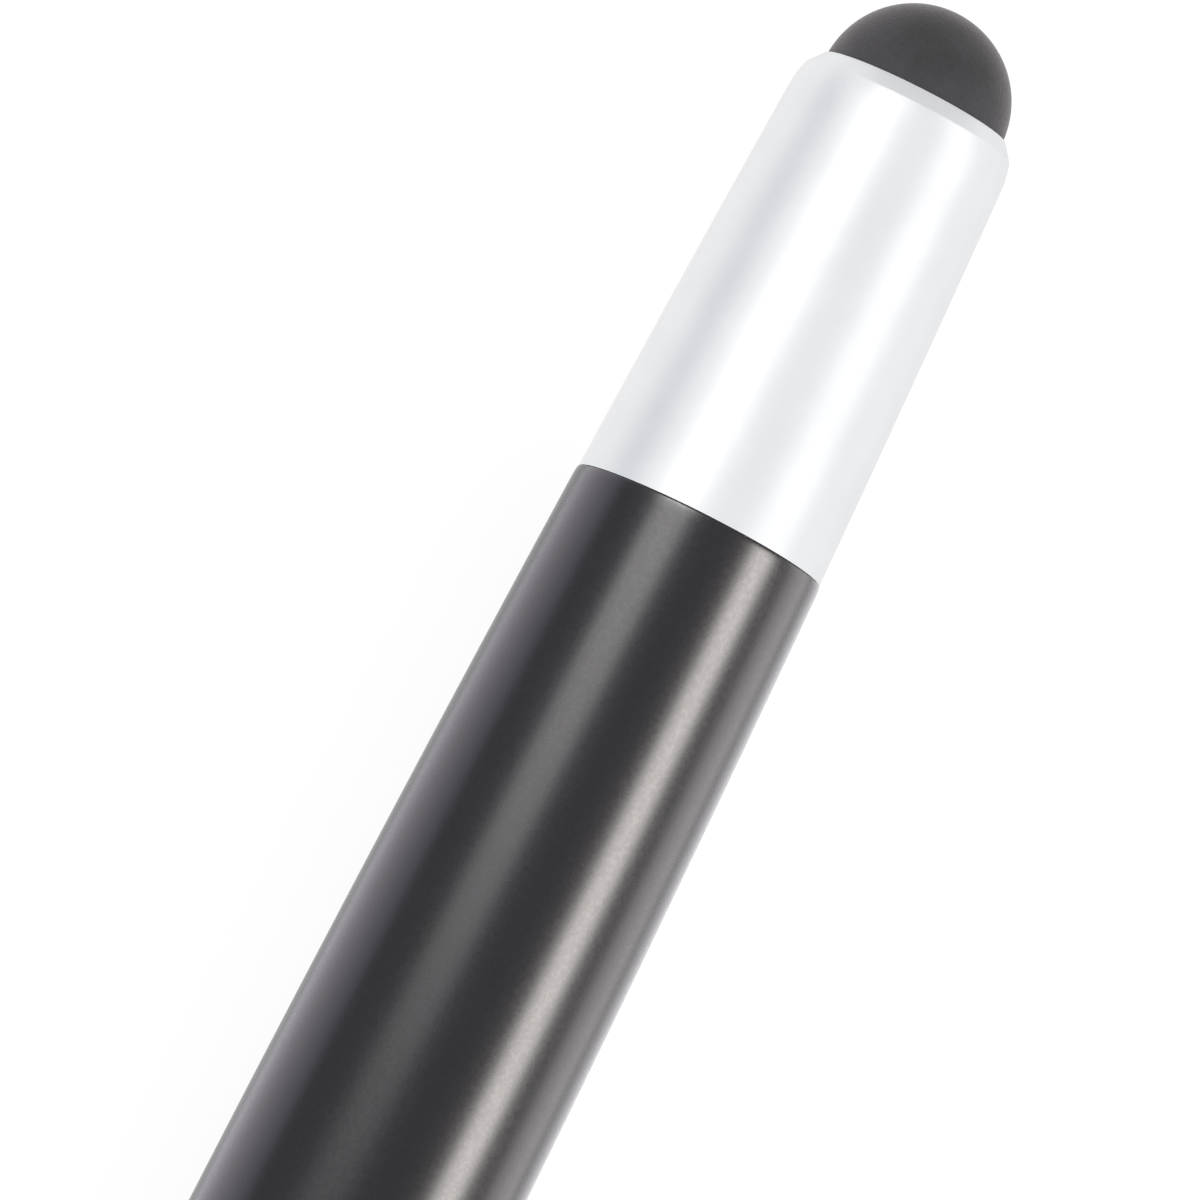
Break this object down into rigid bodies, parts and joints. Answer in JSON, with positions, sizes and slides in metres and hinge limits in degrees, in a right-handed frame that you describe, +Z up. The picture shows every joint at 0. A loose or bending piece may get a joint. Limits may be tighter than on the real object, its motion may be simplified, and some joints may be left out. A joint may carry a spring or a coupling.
{
  "type": "stylus pen",
  "caption": "Twist-action stylus pen: satin black tapered barrel, bright ferrule with a soft round touchscreen tip, pocket clip, and a retractable ballpoint at the other end",
  "frame": {"origin": "on the pen's axis where the lower barrel meets the centre ring", "axes": "+X along the pen's axis towards the soft stylus tip, +Z up as the pen lies on a table, clip low on the -Y side, where its edge stops the pen from rolling"},
  "size_m": [0.1372, 0.0117, 0.01],
  "materials": {
    "barrel_lacquer": "satin",
    "satin_silver": "satin",
    "tip_rubber": "matte",
    "seal_rubber": "matte",
    "brass": "satin",
    "steel": "satin",
    "mechanism_plastic": "matte",
    "spindle_plastic": "matte",
    "washer_plastic": "matte",
    "tube_plastic": "gloss",
    "ink": "gloss",
    "grease": "gloss"
  },
  "bodies": {
    "upper_half": {"upper_barrel": "barrel_lacquer", "ferrule": "satin_silver", "ferrule_bush": "brass", "ferrule_o_ring": "seal_rubber", "tip_core": "mechanism_plastic", "cam_casing": "mechanism_plastic"},
    "soft_tip": {"stylus_tip": "tip_rubber"},
    "pocket_clip": {"clip": "satin_silver"},
    "twist_spindle": {"spindle": "spindle_plastic", "snap_ring": "steel", "friction_washer": "washer_plastic"},
    "refill": {"pusher": "mechanism_plastic", "cam_pin": "steel", "refill_tube": "tube_plastic", "refill_tip": "brass", "ink": "ink", "ink_follower": "grease", "return_spring": "steel"},
    "ball": {"writing_ball": "steel"},
    "lower_half": {"lower_barrel": "barrel_lacquer", "centre_ring": "satin_silver", "nose_cone": "satin_silver", "lower_bush": "brass"}
  },
  "joints": [
    {"name": "tip_press", "type": "slide", "parent": "upper_half", "child": "soft_tip", "axis": [-1, 0, 0], "range_m": [0, 0.0006], "stiffness_N_per_m": 900},
    {"name": "clip_flex", "type": "hinge", "parent": "upper_half", "child": "pocket_clip", "pos_m": [0.04, -0.00338, -0.00187], "axis": [0, -0.4848, 0.8746], "range_deg": [0, 4], "stiffness_Nm_per_rad": 2.5},
    {"name": "twist", "type": "hinge", "parent": "upper_half", "child": "twist_spindle", "pos_m": [0, 0, 0], "axis": [1, 0, 0], "range_deg": [0, 180]},
    {"name": "refill_slide", "type": "slide", "parent": "twist_spindle", "child": "refill", "axis": [-1, 0, 0], "range_m": [0, 0.0055], "deforming": ["return_spring"]},
    {"name": "ball_roll", "type": "hinge", "parent": "refill", "child": "ball", "pos_m": [-0.07495, 0, 0], "axis": [0, 1, 0], "continuous": true},
    {"name": "barrel_off", "type": "slide", "parent": "twist_spindle", "child": "lower_half", "axis": [-1, 0, 0], "range_m": [0, 0.08]}
  ],
  "couplings": [
    {"joint": "twist", "follows": "refill_slide", "rad_per_m": 571.2}
  ]
}
